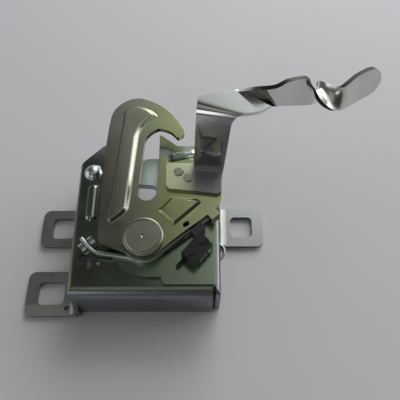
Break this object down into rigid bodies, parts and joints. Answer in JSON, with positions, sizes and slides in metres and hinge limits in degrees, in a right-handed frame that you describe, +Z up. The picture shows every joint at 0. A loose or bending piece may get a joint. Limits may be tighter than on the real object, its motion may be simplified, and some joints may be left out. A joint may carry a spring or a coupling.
{
  "type": "bonnet latch",
  "caption": "Bonnet latch: folded zinc-plated base with feet, slotted floor, fork claw and pawl beneath, sprung safety hook with a twisted pull handle above, and a small switch.",
  "frame": {"origin": "the axis of the striker at the round end of the slot, on the mounting plane under the feet", "axes": "+X to the pull handle's side, +Y the way the striker leaves the slot, +Z up from the mounting plane"},
  "size_m": [0.1524, 0.0976, 0.0785],
  "materials": {
    "zinc_sheet": "zinc plated, slightly yellow passivation, satin",
    "olive_zinc": "zinc plated, olive yellow passivation, satin",
    "bright_zinc": "bright zinc plate",
    "rivet_steel": "zinc plated, satin",
    "claw_steel": "light grey zinc, satin",
    "spring_steel": "drawn spring wire",
    "bush_plastic": "moulded, matt",
    "black_plastic": "moulded, satin black",
    "grey_plastic": "moulded, satin grey",
    "terminal_brass": "tinned brass"
  },
  "bodies": {
    "base": {"base_plate": "zinc_sheet", "pivot_plate": "olive_zinc", "main_rivet": "rivet_steel", "pivot_bush": "bush_plastic", "hook_spring": "spring_steel", "pawl_rivet": "rivet_steel", "pawl_spacer": "bush_plastic", "pawl_spring": "spring_steel", "claw_rivet": "rivet_steel", "claw_spacer": "bush_plastic", "claw_spring": "spring_steel", "switch_body": "black_plastic", "switch_cover": "grey_plastic", "switch_terminals": "terminal_brass", "switch_pins": "black_plastic"},
    "hook": {"safety_hook": "olive_zinc", "pull_handle": "bright_zinc", "handle_rivets": "rivet_steel"},
    "claw": {"claw": "claw_steel"},
    "pawl": {"pawl": "claw_steel"},
    "plunger": {"switch_plunger": "black_plastic"}
  },
  "joints": [
    {"name": "hook_turn", "type": "hinge", "parent": "base", "child": "hook", "pos_m": [0, -0.025, 0.0325], "axis": [0, 0, 1], "range_deg": [0, 28], "stiffness_Nm_per_rad": 0.35, "springref_deg": -28.65, "deforming": ["hook_spring"]},
    {"name": "claw_turn", "type": "hinge", "parent": "base", "child": "claw", "pos_m": [0.02, 0.01, 0.0195], "axis": [0, 0, 1], "range_deg": [-60, 0], "deforming": ["claw_spring"]},
    {"name": "pawl_turn", "type": "hinge", "parent": "base", "child": "pawl", "pos_m": [-0.026, 0.0112, 0.0195], "axis": [0, 0, 1], "range_deg": [-25, 0], "deforming": ["pawl_spring"]},
    {"name": "plunger_slide", "type": "slide", "parent": "base", "child": "plunger", "axis": [-0.749, 0.6626, 0], "range_m": [0, 0.00125]}
  ],
  "couplings": [
    {"joint": "pawl_turn", "follows": "claw_turn", "ratio": 0.4},
    {"joint": "plunger_slide", "follows": "hook_turn", "m_per_rad": 0.0025}
  ]
}
